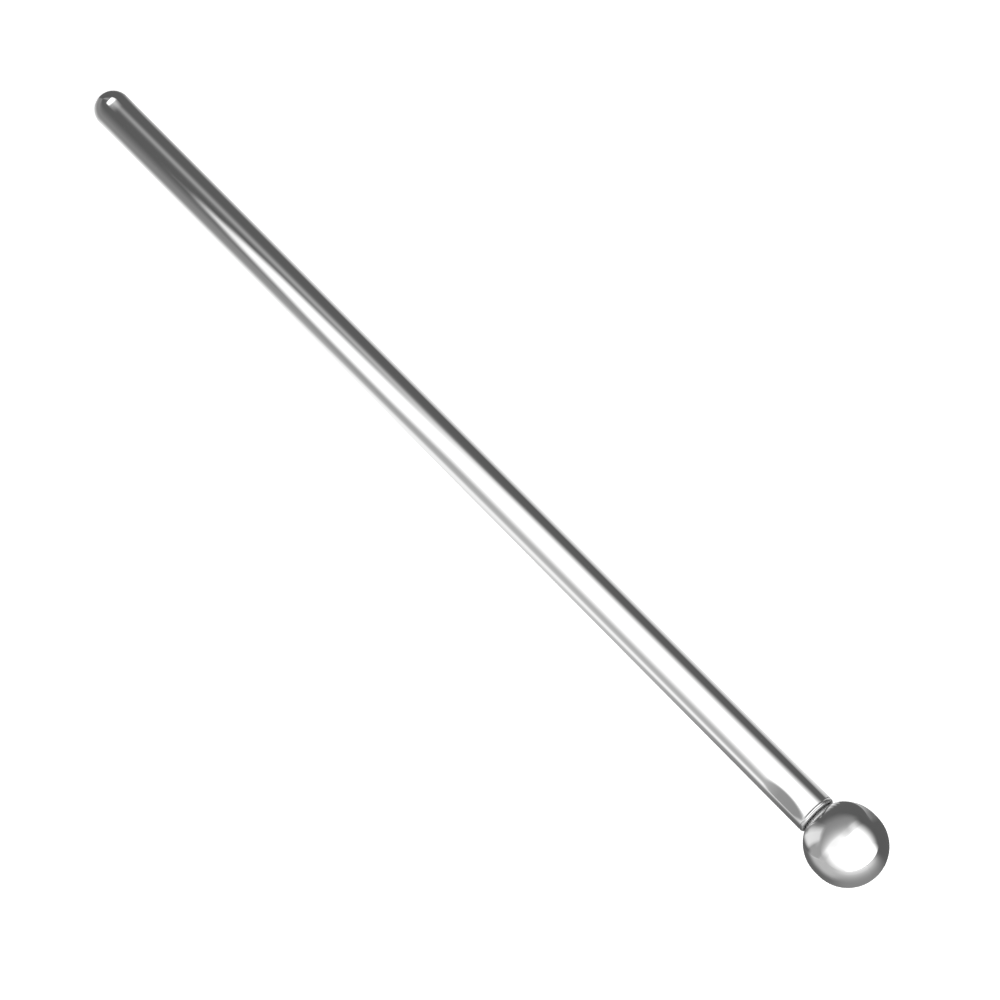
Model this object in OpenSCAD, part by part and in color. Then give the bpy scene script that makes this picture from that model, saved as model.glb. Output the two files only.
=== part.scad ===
// Ball-ended stirring rod: a slightly tapered, mirror-polished metal shank with a domed tip,
// and a slightly long metal ball seated on the other end.
// The shank's axis lies along X, with the ball towards +X.
// The origin is on the axis, halfway along the overall length. All sizes are in millimetres.

/* [Shank] */
// Length of the shank from its domed tip to the flat end face under the ball
shank_length = 185; // [60:0.1:300]
// Diameter of the shank where the domed tip begins
tip_d = 6.8; // [5.6:0.1:11]
// Diameter of the shank at the end that carries the ball
seat_end_d = 7.8; // [5.6:0.1:12]
// Radius of the rounded edge around the shank's end face
edge_r = 0.5; // [0.2:0.05:0.6]

/* [Turned line] */
// Width of the fine line turned round the shank beside the rounded edge
line_w = 0.3; // [0.1:0.05:0.8]
// Depth of the turned line
line_depth = 0.08; // [0.02:0.01:0.2]
// Plain band left between the rounded edge and the turned line
line_gap = 0.15; // [0.05:0.05:2]

/* [Ball] */
// Diameter of the ball across the rod
ball_d = 14.7; // [12:0.1:24]
// How much longer the ball is along the rod than across it, before its flat is ground
ball_stretch = 0.9; // [0.2:0.1:2]
// Width of the flat ring ground on the ball around its hole, where the shank's end face bears
seat_land = 1.5; // [0.3:0.05:1.8]

/* [Spigot] */
// Diameter of the spigot on the shank that holds the ball
spigot_d = 3; // [1.5:0.1:3.6]
// Length of the spigot beyond the shank's end face
spigot_length = 6; // [2:0.1:8]
// Radial gap between the spigot and the hole in the ball, filled by the joining metal
spigot_clearance = 0.02; // [0.01:0.01:0.1]
// Space left between the spigot's end and the bottom of the hole
hole_relief = 0.5; // [0.1:0.1:1.5]
// Chamfer on the spigot's free end
spigot_chamfer = 0.3; // [0.1:0.05:0.5]

/* [Quality] */
// Facets of a round in the preview
facets = 96; // [48:8:192]

/* [Hidden] */
$fn = facets;

tip_r = tip_d / 2;
seat_end_r = seat_end_d / 2;
ball_r = ball_d / 2;
spigot_r = spigot_d / 2;
hole_r = spigot_r + spigot_clearance;
hole_depth = spigot_length + hole_relief;
seat_r = hole_r + seat_land;
// The ball is two half rounds with a short straight band between them
ball_half_length = ball_r + ball_stretch / 2;
// The flat ring is as deep as its own radius needs on the ball's round end
seat_depth = ball_r - sqrt(pow(ball_r, 2) - pow(seat_r, 2));
overall_length = shank_length + 2 * ball_half_length - seat_depth;
tip_x = -overall_length / 2;
// The taper runs from the dome's widest circle to the start of the rounded edge
taper_end = shank_length - edge_r;
taper_slope = (seat_end_r - tip_r) / (taper_end - tip_r);
line_end = taper_end - line_gap;
line_middle = line_end - line_w / 2;
line_start = line_end - line_w;

// Radius of the tapered shank at a distance from the tip
function shank_radius(along) = tip_r + (along - tip_r) * taper_slope;

// Half outlines are drawn with the radius across and the distance along the axis upwards
module dome_half() {
    intersection() {
        translate([0, tip_r]) circle(r = tip_r);
        square(tip_r);
    }
}

module taper_half() {
    polygon([
        [0, tip_r],
        [tip_r, tip_r],
        [shank_radius(line_start), line_start],
        [shank_radius(line_middle) - line_depth, line_middle],
        [shank_radius(line_end), line_end],
        [seat_end_r, taper_end],
        [0, taper_end]
    ]);
}

module rounded_end_half() {
    intersection() {
        translate([seat_end_r - edge_r, taper_end]) circle(r = edge_r);
        translate([seat_end_r - edge_r, taper_end]) square(edge_r);
    }
    translate([0, taper_end]) square([seat_end_r - edge_r, edge_r]);
}

module spigot_half() {
    spigot_end = shank_length + spigot_length;
    polygon([
        [0, shank_length],
        [spigot_r, shank_length],
        [spigot_r, spigot_end - spigot_chamfer],
        [spigot_r - spigot_chamfer, spigot_end],
        [0, spigot_end]
    ]);
}

// Turns a half outline about the rod's axis and lays it along X from the tip
module turn_along_x() {
    translate([tip_x, 0, 0]) rotate([0, 90, 0]) rotate_extrude() children();
}

module shank() {
    color("gainsboro")
        turn_along_x() {
            dome_half();
            taper_half();
            rounded_end_half();
            spigot_half();
        }
}

module ball_half() {
    for (side = [-1, 1])
        intersection() {
            translate([0, side * ball_stretch / 2]) circle(r = ball_r);
            translate([0, side > 0 ? ball_stretch / 2 : -ball_half_length]) square(ball_r);
        }
    translate([0, -ball_stretch / 2]) square([ball_r, ball_stretch]);
}

module ball() {
    seat_x = tip_x + shank_length;
    cut_size = 2 * ball_half_length;
    color("silver")
        difference() {
            translate([seat_x - seat_depth + ball_half_length, 0, 0])
                rotate([0, 90, 0]) rotate_extrude() ball_half();
            translate([seat_x - cut_size, -cut_size / 2, -cut_size / 2]) cube(cut_size);
            translate([seat_x - seat_depth, 0, 0])
                rotate([0, 90, 0]) cylinder(r = hole_r, h = hole_depth + seat_depth);
        }
}

shank();
ball();
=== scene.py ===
"""A ball-ended stirring rod of mirror-polished metal, lying on a pale floor in soft studio light."""
import math

import bmesh
import bpy
from mathutils import Matrix, Vector


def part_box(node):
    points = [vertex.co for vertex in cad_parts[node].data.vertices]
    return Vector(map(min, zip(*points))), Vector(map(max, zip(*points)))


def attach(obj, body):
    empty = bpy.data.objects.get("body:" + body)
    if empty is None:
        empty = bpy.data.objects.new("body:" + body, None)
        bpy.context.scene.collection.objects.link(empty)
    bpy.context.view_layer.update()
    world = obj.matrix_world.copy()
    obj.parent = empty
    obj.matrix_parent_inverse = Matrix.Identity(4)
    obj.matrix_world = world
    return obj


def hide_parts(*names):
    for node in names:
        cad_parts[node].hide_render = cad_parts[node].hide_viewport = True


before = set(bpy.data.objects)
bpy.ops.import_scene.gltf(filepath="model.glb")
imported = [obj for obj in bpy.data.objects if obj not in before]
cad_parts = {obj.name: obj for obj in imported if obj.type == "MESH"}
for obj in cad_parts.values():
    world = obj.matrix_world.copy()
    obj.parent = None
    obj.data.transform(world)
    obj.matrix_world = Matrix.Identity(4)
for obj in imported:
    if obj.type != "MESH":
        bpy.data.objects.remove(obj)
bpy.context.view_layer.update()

MM = 0.001

# ---- the rod's sizes ----
# How far inside the CAD's box the turned surfaces stay
INSET = 0.005 * MM
shank_low, shank_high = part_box("shank")
ball_low, ball_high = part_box("ball")
TIP_X = shank_low.x
SEAT_X = ball_low.x
SPIGOT_END_X = shank_high.x
BALL_R = (ball_high.z - ball_low.z) / 2 - INSET
BALL_STRETCH = 0.9 * MM
BALL_HALF_LENGTH = BALL_R + BALL_STRETCH / 2
BALL_X = ball_high.x - BALL_HALF_LENGTH
SEAT_END_R = (shank_high.z - shank_low.z) / 2 - INSET
TIP_R = 3.4 * MM
EDGE_R = 0.5 * MM
LINE_W = 0.3 * MM
LINE_DEPTH = 0.08 * MM
LINE_GAP = 0.15 * MM
# The turned line's section, as shares of its width and depth
LINE_SECTION = ((0.25, 0.6), (0.5, 1.0), (0.75, 0.6), (1.0, 0.0))
SPIGOT_R = 1.5 * MM
HOLE_R = 1.52 * MM
HOLE_RELIEF = 0.5 * MM
SPIGOT_CHAMFER = 0.3 * MM
TURN_STEPS = 256
DOME_STEPS = 40
TAPER_STEPS = 36
EDGE_STEPS = 16
FAR_ROUND_STEPS = 70
SEAT_ROUND_STEPS = 60
ON_AXIS = 1e-9
SHARP_ANGLE = math.radians(32)


def arc(centre_x, centre_r, radius, start, end, steps):
    """Points (x, r) of an arc in the half plane, with angles in degrees from the +X direction."""
    angles = [math.radians(start + (end - start) * i / steps) for i in range(steps + 1)]
    return [(centre_x + radius * math.cos(a), centre_r + radius * math.sin(a)) for a in angles]


def turned(name, outline):
    """A closed mesh made by turning an outline of (x, r) points about the X axis."""
    mesh = bmesh.new()
    rings = []
    for x, r in outline:
        if r < ON_AXIS:
            rings.append([mesh.verts.new((x, 0, 0))])
            continue
        turns = [2 * math.pi * i / TURN_STEPS for i in range(TURN_STEPS)]
        rings.append([mesh.verts.new((x, r * math.cos(a), r * math.sin(a))) for a in turns])
    for one, two in zip(rings, rings[1:]):
        for i in range(TURN_STEPS):
            j = (i + 1) % TURN_STEPS
            corners = [one[i % len(one)], one[j % len(one)], two[j % len(two)], two[i % len(two)]]
            mesh.faces.new(list(dict.fromkeys(corners)))
    bmesh.ops.recalc_face_normals(mesh, faces=mesh.faces)
    for face in mesh.faces:
        face.smooth = True
    data = bpy.data.meshes.new(name)
    mesh.to_mesh(data)
    mesh.free()
    data.set_sharp_from_angle(angle=SHARP_ANGLE)
    piece = bpy.data.objects.new(name, data)
    bpy.context.scene.collection.objects.link(piece)
    return piece


def shank_outline():
    """The shank's dome, taper, turned line, rounded edge, end face and spigot, from the tip."""
    taper_start = TIP_X + TIP_R
    taper_end = SEAT_X - EDGE_R
    slope = (SEAT_END_R - TIP_R) / (taper_end - taper_start)
    line_end = taper_end - LINE_GAP

    def radius(x):
        return TIP_R + (x - taper_start) * slope

    points = arc(taper_start, 0, TIP_R, 180, 90, DOME_STEPS)
    points[0] = (TIP_X, 0)
    line_start = line_end - LINE_W
    for i in range(1, TAPER_STEPS + 1):
        x = taper_start + (line_start - taper_start) * i / TAPER_STEPS
        points.append((x, radius(x)))
    for share, depth in LINE_SECTION:
        x = line_start + LINE_W * share
        points.append((x, radius(x) - LINE_DEPTH * depth))
    points += arc(taper_end, SEAT_END_R - EDGE_R, EDGE_R, 90, 0, EDGE_STEPS)
    points += [
        (SEAT_X, SPIGOT_R),
        (SPIGOT_END_X - SPIGOT_CHAMFER, SPIGOT_R),
        (SPIGOT_END_X, SPIGOT_R - SPIGOT_CHAMFER),
        (SPIGOT_END_X, 0),
    ]
    return points


def ball_outline():
    """The ball's far round, band, round on the seat's side, flat and blind hole, from the far pole."""
    half = BALL_STRETCH / 2
    seat_angle = math.degrees(math.acos((SEAT_X - BALL_X + half) / BALL_R))
    hole_bottom = SPIGOT_END_X + HOLE_RELIEF
    points = arc(BALL_X + half, 0, BALL_R, 0, 90, FAR_ROUND_STEPS)
    points[0] = (BALL_X + BALL_HALF_LENGTH, 0)
    points += arc(BALL_X - half, 0, BALL_R, 90, seat_angle, SEAT_ROUND_STEPS)
    points += [(SEAT_X, HOLE_R), (hole_bottom, HOLE_R), (hole_bottom, 0)]
    return points


# ---- materials ----
def new_material(name):
    """A material with nodes and its Principled BSDF."""
    material = bpy.data.materials.new(name)
    material.use_nodes = True
    return material, material.node_tree, material.node_tree.nodes["Principled BSDF"]


def polish_group():
    """Marks left by polishing: fine scratches, faint smudges and cloudy tone, from object coordinates."""
    group = bpy.data.node_groups.new("polish_marks", "ShaderNodeTree")
    io = group.interface
    io.new_socket("Position", in_out="INPUT", socket_type="NodeSocketVector")
    for name, start in (("Scratch Scale", 1.0), ("Smudge Scale", 60.0), ("Roughness Low", 0.03),
                        ("Roughness High", 0.09)):
        io.new_socket(name, in_out="INPUT", socket_type="NodeSocketFloat").default_value = start
    io.new_socket("Height", in_out="OUTPUT", socket_type="NodeSocketFloat")
    io.new_socket("Roughness", in_out="OUTPUT", socket_type="NodeSocketFloat")
    io.new_socket("Tone", in_out="OUTPUT", socket_type="NodeSocketFloat")
    nodes, links = group.nodes, group.links
    inner = nodes.new("NodeGroupInput")
    outer = nodes.new("NodeGroupOutput")
    scratches = nodes.new("ShaderNodeTexNoise")
    scratches.inputs["Detail"].default_value = 4.0
    smudges = nodes.new("ShaderNodeTexNoise")
    smudges.inputs["Detail"].default_value = 3.0
    smudges.inputs["Distortion"].default_value = 1.5
    spread = nodes.new("ShaderNodeMapRange")
    spread.inputs["From Min"].default_value = 0.4
    spread.inputs["From Max"].default_value = 0.75
    links.new(inner.outputs["Position"], scratches.inputs["Vector"])
    links.new(inner.outputs["Position"], smudges.inputs["Vector"])
    links.new(inner.outputs["Scratch Scale"], scratches.inputs["Scale"])
    links.new(inner.outputs["Smudge Scale"], smudges.inputs["Scale"])
    links.new(smudges.outputs["Fac"], spread.inputs["Value"])
    links.new(inner.outputs["Roughness Low"], spread.inputs["To Min"])
    links.new(inner.outputs["Roughness High"], spread.inputs["To Max"])
    links.new(scratches.outputs["Fac"], outer.inputs["Height"])
    links.new(spread.outputs["Result"], outer.inputs["Roughness"])
    links.new(smudges.outputs["Fac"], outer.inputs["Tone"])
    return group


def joint_shade_group():
    """A mask for painted shade at the joint: full at the seat, fading out along the rod within a short
    reach.
    """
    group = bpy.data.node_groups.new("joint_shade_mask", "ShaderNodeTree")
    io = group.interface
    io.new_socket("Position", in_out="INPUT", socket_type="NodeSocketVector")
    io.new_socket("Seat", in_out="INPUT", socket_type="NodeSocketFloat")
    io.new_socket("Reach", in_out="INPUT", socket_type="NodeSocketFloat")
    io.new_socket("Mask", in_out="OUTPUT", socket_type="NodeSocketFloat")
    nodes, links = group.nodes, group.links
    inner = nodes.new("NodeGroupInput")
    outer = nodes.new("NodeGroupOutput")
    split = nodes.new("ShaderNodeSeparateXYZ")
    offset = nodes.new("ShaderNodeMath")
    offset.operation = "SUBTRACT"
    distance = nodes.new("ShaderNodeMath")
    distance.operation = "ABSOLUTE"
    fade = nodes.new("ShaderNodeMapRange")
    fade.interpolation_type = "SMOOTHSTEP"
    fade.inputs["From Min"].default_value = 0.0
    fade.inputs["To Min"].default_value = 1.0
    fade.inputs["To Max"].default_value = 0.0
    links.new(inner.outputs["Position"], split.inputs["Vector"])
    links.new(split.outputs["X"], offset.inputs[0])
    links.new(inner.outputs["Seat"], offset.inputs[1])
    links.new(offset.outputs["Value"], distance.inputs[0])
    links.new(distance.outputs["Value"], fade.inputs["Value"])
    links.new(inner.outputs["Reach"], fade.inputs["From Max"])
    links.new(fade.outputs["Result"], outer.inputs["Mask"])
    return group


POLISH = polish_group()
# The mask of the painted shade at the joint between shank and ball
JOINT_SHADE = joint_shade_group()
# Painted shade: the dull grey, non-metal colour that darkens the joint
JOINT_SHADE_GREY = (0.2, 0.2, 0.2, 1)
RELIEF_DEPTH = 0.02 * MM


def polished_metal(name, grain, marks, bump, tones, shade_reach):
    """Mirror-polished metal, with painted dull grey shade at the joint between shank and ball, within
    shade_reach of the seat.

    grain stretches the marks along X, Y and Z.
    """
    material, tree, shader = new_material(name)
    nodes, links = tree.nodes, tree.links
    place = nodes.new("ShaderNodeTexCoord")
    stretch = nodes.new("ShaderNodeMapping")
    stretch.inputs["Scale"].default_value = grain
    polish = nodes.new("ShaderNodeGroup")
    polish.node_tree = POLISH
    for key, value in marks.items():
        polish.inputs[key].default_value = value
    # The mask of the painted shade at the joint
    joint_shade = nodes.new("ShaderNodeGroup")
    joint_shade.node_tree = JOINT_SHADE
    joint_shade.inputs["Seat"].default_value = SEAT_X
    joint_shade.inputs["Reach"].default_value = shade_reach
    links.new(place.outputs["Object"], stretch.inputs["Vector"])
    links.new(stretch.outputs["Vector"], polish.inputs["Position"])
    links.new(place.outputs["Object"], joint_shade.inputs["Position"])
    links.new(polish.outputs["Roughness"], shader.inputs["Roughness"])
    colour_metal(tree, shader, polish, joint_shade, tones)
    relief = nodes.new("ShaderNodeBump")
    relief.inputs["Strength"].default_value = bump
    relief.inputs["Distance"].default_value = RELIEF_DEPTH
    links.new(polish.outputs["Height"], relief.inputs["Height"])
    links.new(relief.outputs["Normal"], shader.inputs["Normal"])
    return material


def colour_metal(tree, shader, polish, joint_shade, tones):
    """Gives metal its cloudy tone away from the seat, and a painted shade of bare dull grey at the joint.
    """
    nodes, links = tree.nodes, tree.links
    tone = nodes.new("ShaderNodeValToRGB")
    tone.color_ramp.elements[0].position = 0.3
    tone.color_ramp.elements[1].position = 0.7
    for element, level in zip(tone.color_ramp.elements, tones):
        element.color = (level, level, level, 1)
    # Mixes in the painted dull grey shade at the joint
    shaded = nodes.new("ShaderNodeMix")
    shaded.data_type = "RGBA"
    shaded.inputs["B"].default_value = JOINT_SHADE_GREY
    sheen = nodes.new("ShaderNodeMath")
    sheen.operation = "SUBTRACT"
    sheen.inputs[0].default_value = 1.0
    links.new(polish.outputs["Tone"], tone.inputs["Fac"])
    links.new(tone.outputs["Color"], shaded.inputs["A"])
    links.new(joint_shade.outputs["Mask"], shaded.inputs["Factor"])
    links.new(shaded.outputs["Result"], shader.inputs["Base Color"])
    links.new(joint_shade.outputs["Mask"], sheen.inputs[1])
    links.new(sheen.outputs["Value"], shader.inputs["Metallic"])


def floor_material():
    """Plain pale card. Seen directly it is near white; in reflections it has its own graded light."""
    material, tree, shader = new_material("pale_floor")
    nodes, links = tree.nodes, tree.links
    grain = nodes.new("ShaderNodeTexNoise")
    grain.inputs["Scale"].default_value = 900.0
    tone = nodes.new("ShaderNodeValToRGB")
    tone.color_ramp.elements[0].color = (0.80, 0.80, 0.80, 1)
    tone.color_ramp.elements[1].color = (0.84, 0.84, 0.84, 1)
    shader.inputs["Roughness"].default_value = 0.9
    shader.inputs["Specular IOR Level"].default_value = 0.0
    lift = nodes.new("ShaderNodeEmission")
    lift.inputs["Strength"].default_value = FLOOR_LIFT
    direct = nodes.new("ShaderNodeAddShader")
    level = nodes.new("ShaderNodeAttribute")
    level.attribute_name = "light"
    mirrored = nodes.new("ShaderNodeEmission")
    path = nodes.new("ShaderNodeLightPath")
    pick = nodes.new("ShaderNodeMixShader")
    links.new(grain.outputs["Fac"], tone.inputs["Fac"])
    links.new(tone.outputs["Color"], shader.inputs["Base Color"])
    links.new(shader.outputs["BSDF"], direct.inputs[0])
    links.new(lift.outputs["Emission"], direct.inputs[1])
    links.new(level.outputs["Fac"], mirrored.inputs["Strength"])
    links.new(path.outputs["Is Camera Ray"], pick.inputs["Fac"])
    links.new(mirrored.outputs["Emission"], pick.inputs[1])
    links.new(direct.outputs["Shader"], pick.inputs[2])
    links.new(pick.outputs["Shader"], nodes["Material Output"].inputs["Surface"])
    material.cycles.emission_sampling = "NONE"
    return material


def glow_material(name):
    """Light given off evenly at the level stored in the mesh."""
    material = bpy.data.materials.new(name)
    material.use_nodes = True
    nodes, links = material.node_tree.nodes, material.node_tree.links
    nodes.remove(nodes["Principled BSDF"])
    level = nodes.new("ShaderNodeAttribute")
    level.attribute_name = "light"
    glow = nodes.new("ShaderNodeEmission")
    links.new(level.outputs["Fac"], glow.inputs["Strength"])
    links.new(glow.outputs["Emission"], nodes["Material Output"].inputs["Surface"])
    material.cycles.emission_sampling = "NONE"
    return material


def veil_material(name):
    """A glow that adds to whatever light is behind it."""
    material = glow_material(name)
    nodes, links = material.node_tree.nodes, material.node_tree.links
    clear = nodes.new("ShaderNodeBsdfTransparent")
    both = nodes.new("ShaderNodeAddShader")
    links.new(nodes["Emission"].outputs["Emission"], both.inputs[0])
    links.new(clear.outputs["BSDF"], both.inputs[1])
    links.new(both.outputs["Shader"], nodes["Material Output"].inputs["Surface"])
    return material


def card_material(name):
    """A glowing card whose light and cover are both stored in the mesh."""
    material = glow_material(name)
    nodes, links = material.node_tree.nodes, material.node_tree.links
    cover = nodes.new("ShaderNodeAttribute")
    cover.attribute_name = "cover"
    clear = nodes.new("ShaderNodeBsdfTransparent")
    pick = nodes.new("ShaderNodeMixShader")
    links.new(cover.outputs["Fac"], pick.inputs["Fac"])
    links.new(clear.outputs["BSDF"], pick.inputs[1])
    links.new(nodes["Emission"].outputs["Emission"], pick.inputs[2])
    links.new(pick.outputs["Shader"], nodes["Material Output"].inputs["Surface"])
    return material


# ---- the studio ----
# A pair that sets an edge is (middle, half width). A table is (place, value), straight between places.
STUDIO_GREY = 0.125
FLOOR_LIFT = 0.7
# Angles of the camera away from straight above the rod, in degrees
TILT_ACROSS = 14.0
TILT_ALONG = 13.0
CAMERA_DISTANCE = 3.5

# The light tent
TENT_R = 250 * MM
TENT_HALF = 450 * MM
TENT_CAP_STEPS = 18
TENT_ROWS = 110
TENT_ANGLES = [-92 + 2 * j for j in range(93)]
# How far along the rod a mirrored line of sight has moved when it reaches the tent
CAMERA_HEIGHT = CAMERA_DISTANCE * math.cos(math.radians(TILT_ALONG))
TENT_SHIFT = TENT_R * math.tan(math.radians(TILT_ALONG))

# By place along the rod in millimetres: the broad light's lower and upper edge, in degrees
LOWER_EDGE = ((-76, -25), (-65, -39), (-54, -47), (-43, -55), (-25, -58), (-7, -51), (66, -50),
              (104, -60), (323, -76), (500, -120))
UPPER_EDGE = ((-76, -28), (-65, -9), (-54, 3), (-43, 8), (-25, 16), (-7, 32), (11, 43), (66, 51),
              (104, 60), (323, 80), (500, 120))
# By place along the rod in millimetres: how soft those edges are, in degrees, and the tent's light
EDGE_SOFTNESS = ((-65, 14), (-25, 17), (11, 24), (66, 24))
BROAD_LEVEL = ((-82, 0), (-65, 1.15), (11, 1.3), (66, 1.4), (104, 1.6))
LOW_SIDE_LEVEL = ((-87, 0.15), (-65, 0.21), (-43, 0.3), (-25, 0.38), (-7, 0.46), (11, 0.49), (66, 0.46))
LOW_SIDE_EDGE = (58, 32)
STRIP_LEVEL = ((-65, 0.26), (-43, 0.34), (-25, 0.46), (-7, 0.6))
STRIP_ANGLE = 34.0
STRIP_WIDTH = 14.0

# The lamp beyond the tip: places in millimetres, angles in degrees
LAMP_RADIUS = 50 * MM
LAMP_LEVEL = 2.2
LAMP_STATIONS = [-108 - 3.8 * i for i in range(13)]
LAMP_ANGLES = [-20 + 4.25 * j for j in range(17)]

# The graded card at the seat: heights above the axis and sides along Y, in millimetres
CARD_OFFSET = 0.1 * MM
CARD_HEIGHTS = (-3, -2, -1, 0, 1, 2, 3, 4, 4.5, 5, 6, 7, 8, 9, 10, 12, 14, 17, 20, 25, 30, 38, 46, 54,
                62, 70, 78)
CARD_SIDES = [-42, -36, -30, -25, -20, -16, -13] + [-10 + i for i in range(21)] + [13, 18, 25, 35, 48]
CARD_LEVEL = ((6.5, 0.13), (8, 0.22), (9.5, 0.3), (15, 0.38), (22, 0.54), (30, 0.7), (46, 0.95), (62, 1.2))
# How far towards -Y the card's light rises twice as fast with height, and towards +Y half as fast
CARD_QUICKENS = 14
CARD_SLOWS = 25
CARD_FAR_LEVEL = 0.42
CARD_FAR = (10.5, 2.5)
PATCH_LEVEL = 0.95
PATCH_NEAR = (3.6, 1.4)
PATCH_FAR = (9.5, 2)
PATCH_TOP = (7.7, 1)
PATCH_FOOT = (0, 1.5)
CARD_CLEARS_ROD = (4.7, 0.4)
CARD_FOOT = (-2.5, 0.5)
CARD_LEFT_EDGE = (-34, 8)
CARD_LOW_TOP = (10, 4)
CARD_LOW_EDGE = (42, 6)
CARD_HIGH_TOP = (53, 22)
CARD_HIGH_EDGE = (21, 13)

# The flag beside the shank: places in millimetres, angles in degrees
FLAG_RADIUS = 12 * MM
FLAG_STATIONS = [68 + 0.5 * i for i in range(29)]
FLAG_ANGLES = [-100 + 4 * j for j in range(21)]
FLAG_LEVEL = ((71, 0.6), (76, 0.36), (82, 0.33))
FLAG_MIDDLE = (77.3, -74)
FLAG_HALF = (4.8, 36)
FLAG_EDGE = (1, 0.18)

# The floor's light as the metal mirrors it, in millimetres
CREST_LEVEL = 1.12
CREST_WIDTH = 0.62
CREST_DISTANCE = ((-87, 4), (-65, 5), (-43, 6), (-25, 8.4), (-7, 12.5), (11, 16.5), (66, 30))
CREST_START = (-101, 8)
CREST_END = (77, 8)
CONTACT_SHADE = ((-25, 0), (11, 0.3), (66, 0.75))
CONTACT_REACH = (0.58, 0.2)
UPPER_FLOOR_LEVEL = 1.25
UPPER_FLOOR_REACH = ((-87, 9), (-65, 14), (-43, 23), (11, 29), (66, 30))
UPPER_FLOOR_START = (-99, 4)
UPPER_FLOOR_END = (84, 8)
# Beyond the ball, where the floor turns from its side light to its end light, on the +Y and -Y sides
UPPER_TURN = (0.92, 0.12)
LOWER_TURN = (0.45, 0.3)
END_FLOOR = ((10, 0.28), (15, 0.31), (21, 0.38), (33, 0.53), (62, 0.8), (200, 1.05))
CLOSEST = 0.5
FLOOR_SIDES = (0.5, 1.5, 3, 4.5, 6, 8, 10, 13, 16, 20, 25, 32, 40, 55, 80, 120, 200, 400, 1000, 3000)
FLOOR_LENGTHS = [-3000, -1000, -400, -200] + [-140 + 4 * i for i in range(86)] + [220, 260, 400, 1000, 3000]


def between(value, stations):
    """The level at a value, on straight lines between the stations."""
    if value <= stations[0][0]:
        return stations[0][1]
    for (x0, y0), (x1, y1) in zip(stations, stations[1:]):
        if value <= x1:
            return y0 + (y1 - y0) * (value - x0) / (x1 - x0)
    return stations[-1][1]


def soft_step(value, middle, half):
    """A smooth rise from 0 to 1, as wide as half on each side of the middle."""
    share = min(1.0, max(0.0, (value - middle) / (2 * half) + 0.5))
    return share * share * (3 - 2 * share)


def soft_fall(value, middle, half):
    """A smooth fall from 1 to 0, as wide as half on each side of the middle."""
    return soft_step(-value, -middle, half)


def tent_light(x, psi):
    """The tent's light at x metres along it and psi degrees about the axis from the camera."""
    along = (x + TENT_SHIFT) / (1 + TENT_R / CAMERA_HEIGHT) / MM
    softness = between(along, EDGE_SOFTNESS)
    lower = soft_step(psi, between(along, LOWER_EDGE), softness)
    upper = soft_fall(psi, between(along, UPPER_EDGE), softness)
    inside = lower * upper
    strip = between(along, STRIP_LEVEL) * math.exp(-((psi - STRIP_ANGLE) / STRIP_WIDTH) ** 2)
    low_side = between(along, LOW_SIDE_LEVEL) * soft_step(-psi, *LOW_SIDE_EDGE)
    return STUDIO_GREY + between(along, BROAD_LEVEL) * inside + (strip + low_side) * (1 - inside)


def upper_floor(along, distance):
    """The floor's mirrored light on the +Y side, strongest close to the rod."""
    glow = UPPER_FLOOR_LEVEL * math.exp(-distance / between(along, UPPER_FLOOR_REACH))
    return STUDIO_GREY + glow * soft_step(along, *UPPER_FLOOR_START) * soft_fall(along, *UPPER_FLOOR_END)


def lower_floor(along, distance):
    """The floor's mirrored light on the -Y side, with a bright crest and a shade close to the rod."""
    ratio = distance / between(along, CREST_DISTANCE)
    base = STUDIO_GREY + between(along, LOW_SIDE_LEVEL)
    crest = math.exp(-(math.log(max(ratio, 1.0)) / CREST_WIDTH) ** 2)
    crest *= soft_step(along, *CREST_START) * soft_fall(along, *CREST_END)
    shade = between(along, CONTACT_SHADE) * soft_fall(ratio, *CONTACT_REACH)
    return (base + (CREST_LEVEL - base) * crest) * (1 - shade)


def floor_light(x, y):
    """The floor's light at a place on it, in metres, as the metal mirrors it."""
    along = x / MM
    distance = max(abs(y) / MM, CLOSEST)
    beyond = max(0.0, (x - BALL_X) / MM)
    away = math.hypot(beyond, distance)
    side = upper_floor(along, distance) if y > 0 else lower_floor(along, distance)
    turn = UPPER_TURN if y > 0 else LOWER_TURN
    return side + (between(away, END_FLOOR) - side) * soft_step(beyond / away, *turn)


def lit_mesh(name, rows, levels, material):
    """A staged mesh of rows of points, each with its own light level."""
    data = bpy.data.meshes.new(name)
    wide = len(rows[0])
    faces = []
    for i in range(len(rows) - 1):
        for j in range(wide - 1):
            a = i * wide + j
            faces.append((a, a + 1, a + wide + 1, a + wide))
    data.from_pydata([point for row in rows for point in row], [], faces)
    light = data.attributes.new("light", "FLOAT", "POINT")
    light.data.foreach_set("value", [level for row in levels for level in row])
    data.materials.append(material)
    sheet = bpy.data.objects.new(name, data)
    bpy.context.scene.collection.objects.link(sheet)
    return sheet


def hide_from_floor(piece):
    """Keeps a staged lamp or card out of the camera's direct sight, and its light off the floor."""
    piece.visible_camera = False
    piece.visible_shadow = False
    piece.visible_diffuse = False


def ring(x, radius, angles):
    """Points at x on an arch about the rod's axis, by angles in degrees from straight up towards +Y."""
    turns = [math.radians(angle) for angle in angles]
    return [(x, radius * math.sin(a), radius * math.cos(a)) for a in turns]


def build_tent():
    """A light tent with rounded ends over the rod, which only the metal and the floor see."""
    outline = arc(-TENT_HALF, 0, TENT_R, 180, 90, TENT_CAP_STEPS)
    for i in range(1, TENT_ROWS):
        outline.append((-TENT_HALF + 2 * TENT_HALF * i / TENT_ROWS, TENT_R))
    outline += arc(TENT_HALF, 0, TENT_R, 90, 0, TENT_CAP_STEPS)
    rows = [ring(x, r, TENT_ANGLES) for x, r in outline]
    levels = [[tent_light(x, angle + TILT_ACROSS) for angle in TENT_ANGLES] for x, r in outline]
    tent = lit_mesh("light_tent", rows, levels, glow_material("tent_glow"))
    tent.visible_camera = False


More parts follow.
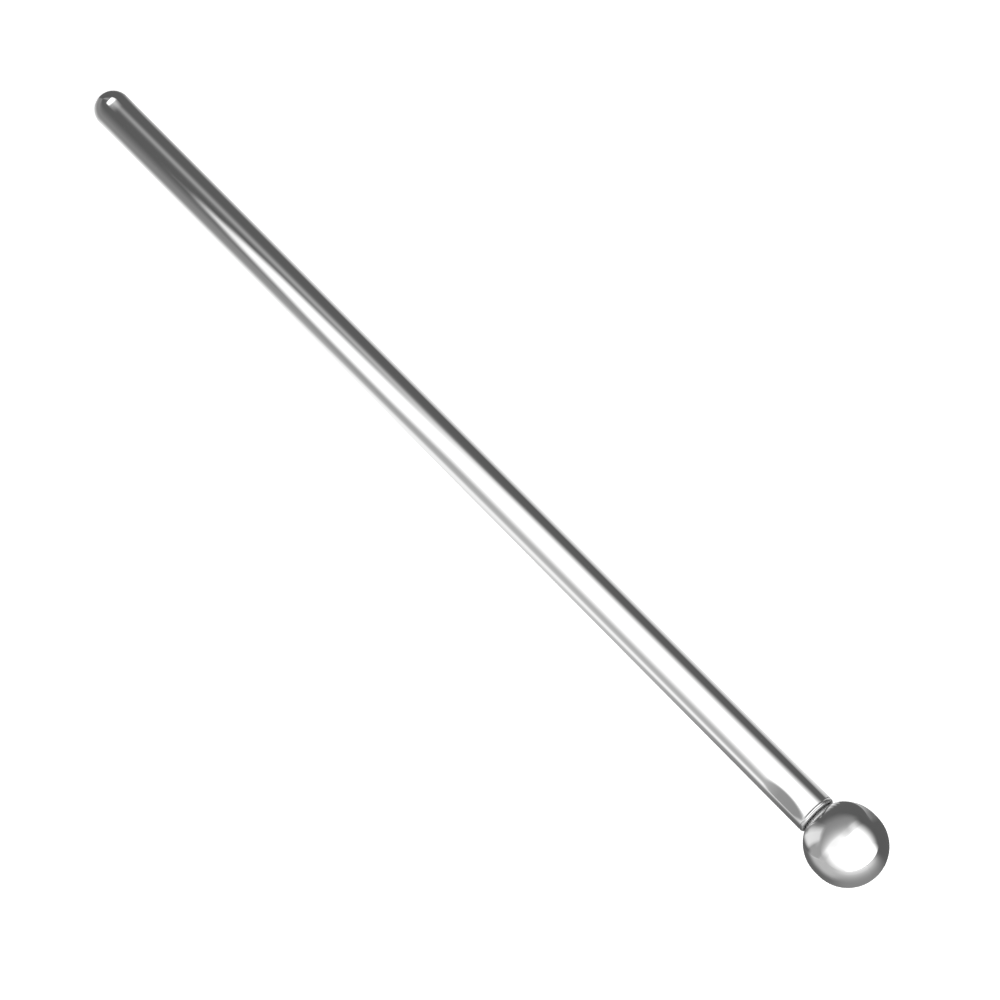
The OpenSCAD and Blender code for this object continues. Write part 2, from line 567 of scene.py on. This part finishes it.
def build_tip_lamp():
    """A small soft lamp that arches over the rod just beyond its tip."""
    rows = [ring(x * MM, LAMP_RADIUS, LAMP_ANGLES) for x in LAMP_STATIONS]
    half_rows = (len(LAMP_STATIONS) - 1) / 2
    half_angles = (len(LAMP_ANGLES) - 1) / 2
    levels = []
    around = [1 - (j / half_angles - 1) ** 4 for j in range(len(LAMP_ANGLES))]
    for i in range(len(LAMP_STATIONS)):
        along = 1 - (i / half_rows - 1) ** 2
        levels.append([LAMP_LEVEL * along * share for share in around])
    lamp = lit_mesh("tip_lamp", rows, levels, veil_material("lamp_glow"))
    hide_from_floor(lamp)


def store_cover(sheet, rows):
    """Stores how much each point of a card covers what is behind it."""
    cover = sheet.data.attributes.new("cover", "FLOAT", "POINT")
    cover.data.foreach_set("value", [value for row in rows for value in row])


def card_light(y, height):
    """The graded card's light, brighter towards its top and towards -Y, with a bright low patch."""
    seen = height * (1 - y / CARD_QUICKENS) if y < 0 else height / (1 + y / CARD_SLOWS)
    level = max(between(seen, CARD_LEVEL), CARD_FAR_LEVEL * soft_step(-y, *CARD_FAR))
    patch = soft_step(-y, *PATCH_NEAR) * soft_fall(-y, *PATCH_FAR)
    patch *= soft_fall(height, *PATCH_TOP) * soft_step(height, *PATCH_FOOT)
    return level + (PATCH_LEVEL - level) * patch


def card_cover(y, height):
    """How much the card hides: all of it near the shank, fading out at its sides and top."""
    beside = soft_step(math.hypot(y, height), *CARD_CLEARS_ROD) * soft_step(height, *CARD_FOOT)
    low = soft_fall(height, *CARD_LOW_TOP) * soft_fall(y, *CARD_LOW_EDGE)
    high = soft_fall(height, *CARD_HIGH_TOP) * soft_fall(y, *CARD_HIGH_EDGE)
    return beside * soft_step(y, *CARD_LEFT_EDGE) * max(low, high)


def build_ball_card():
    """A graded card on edge at the seat, which the ball mirrors on the shank's side."""
    rows = [[(SEAT_X + CARD_OFFSET, y * MM, h * MM) for y in CARD_SIDES] for h in CARD_HEIGHTS]
    levels = [[card_light(y, h) for y in CARD_SIDES] for h in CARD_HEIGHTS]
    card = lit_mesh("ball_card", rows, levels, card_material("card_glow"))
    store_cover(card, [[card_cover(y, h) for y in CARD_SIDES] for h in CARD_HEIGHTS])
    hide_from_floor(card)


def flag_cover(x, angle):
    """How much the flag hides at x millimetres and an angle about the axis: an oval with a soft edge."""
    along = (x - FLAG_MIDDLE[0]) / FLAG_HALF[0]
    around = (angle - FLAG_MIDDLE[1]) / FLAG_HALF[1]
    return soft_fall(math.hypot(along, around), *FLAG_EDGE)


def build_side_flag():
    """A small grey flag near the shank, low on its -Y side just before the seat."""
    rows = [ring(x * MM, FLAG_RADIUS, FLAG_ANGLES) for x in FLAG_STATIONS]
    levels = [[between(x, FLAG_LEVEL)] * len(FLAG_ANGLES) for x in FLAG_STATIONS]
    flag = lit_mesh("side_flag", rows, levels, card_material("flag_grey"))
    store_cover(flag, [[flag_cover(x, angle) for angle in FLAG_ANGLES] for x in FLAG_STATIONS])
    hide_from_floor(flag)


def build_floor():
    """A flat floor that touches the ball and the domed tip, as the rod lies."""
    span = BALL_X - (TIP_X + TIP_R)
    lean = math.asin((BALL_R - TIP_R) / span)
    normal = Vector((math.sin(lean), 0, math.cos(lean)))
    along = Vector((math.cos(lean), 0, -math.sin(lean)))
    foot = Vector((BALL_X, 0, 0)) - normal * BALL_R
    across = [-side for side in reversed(FLOOR_SIDES)] + list(FLOOR_SIDES)
    rows = []
    levels = []
    for x in FLOOR_LENGTHS:
        rows.append([foot + along * (x * MM - BALL_X) + Vector((0, y * MM, 0)) for y in across])
        levels.append([floor_light(x * MM, y * MM) for y in across])
    lit_mesh("floor", rows, levels, floor_material())


def build_world():
    """An even grey room."""
    world = bpy.data.worlds.new("studio")
    world.use_nodes = True
    world.node_tree.nodes["Background"].inputs["Color"].default_value = (1, 1, 1, 1)
    world.node_tree.nodes["Background"].inputs["Strength"].default_value = STUDIO_GREY
    bpy.context.scene.world = world


# ---- the camera ----
# The rod's slope in the picture, in degrees, and how wide the view is at the rod
ROD_ANGLE = 45.09
VIEW_WIDTH = 177.1 * MM
AIM_ALONG = 3.82 * MM
AIM_ACROSS = -0.32 * MM
SENSOR_WIDTH = 36.0


def build_camera():
    """A long lens looking down on the rod, which runs from the upper left to the lower right."""
    across, along = math.radians(TILT_ACROSS), math.radians(TILT_ALONG)
    towards = Vector((math.sin(along), -math.sin(across) * math.cos(along),
                      math.cos(across) * math.cos(along)))
    # The rod's direction in the picture plane, and the plane's right and up directions
    rod = (Vector((1, 0, 0)) - towards * towards.x).normalized()
    side = towards.cross(rod)
    angle = math.radians(ROD_ANGLE)
    right = rod * math.cos(angle) + side * math.sin(angle)
    up = side * math.cos(angle) - rod * math.sin(angle)
    turn = Matrix((right, up, towards)).transposed()
    data = bpy.data.cameras.new("camera")
    camera = bpy.data.objects.new("camera", data)
    bpy.context.scene.collection.objects.link(camera)
    bpy.context.scene.camera = camera
    target = rod * AIM_ALONG + side * AIM_ACROSS
    camera.matrix_world = Matrix.Translation(target + towards * CAMERA_DISTANCE) @ turn.to_4x4()
    data.sensor_width = SENSOR_WIDTH
    data.lens = SENSOR_WIDTH * CAMERA_DISTANCE / VIEW_WIDTH
    data.clip_start = 0.05
    data.clip_end = 20.0


build_world()
build_floor()
build_tent()
build_tip_lamp()
build_ball_card()
build_side_flag()
build_camera()

shank = turned("shank_turned", shank_outline())
ball = turned("ball_turned", ball_outline())
shank.data.materials.append(polished_metal(
    "polished_shank", (0.25, 6.0, 6.0),
    {"Scratch Scale": 900.0, "Smudge Scale": 25.0, "Roughness Low": 0.03, "Roughness High": 0.07},
    0.05, (0.78, 0.84), 0.3 * MM))
ball.data.materials.append(polished_metal(
    "polished_ball", (1.0, 1.0, 1.0),
    {"Scratch Scale": 1500.0, "Smudge Scale": 90.0, "Roughness Low": 0.03, "Roughness High": 0.08},
    0.03, (0.76, 0.83), 0.9 * MM))
for piece, node, slot in ((shank, "shank", "polished_shank"), (ball, "ball", "polished_ball")):
    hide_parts(node)
    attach(piece, "root")

bpy.context.scene.view_settings.view_transform = "Standard"
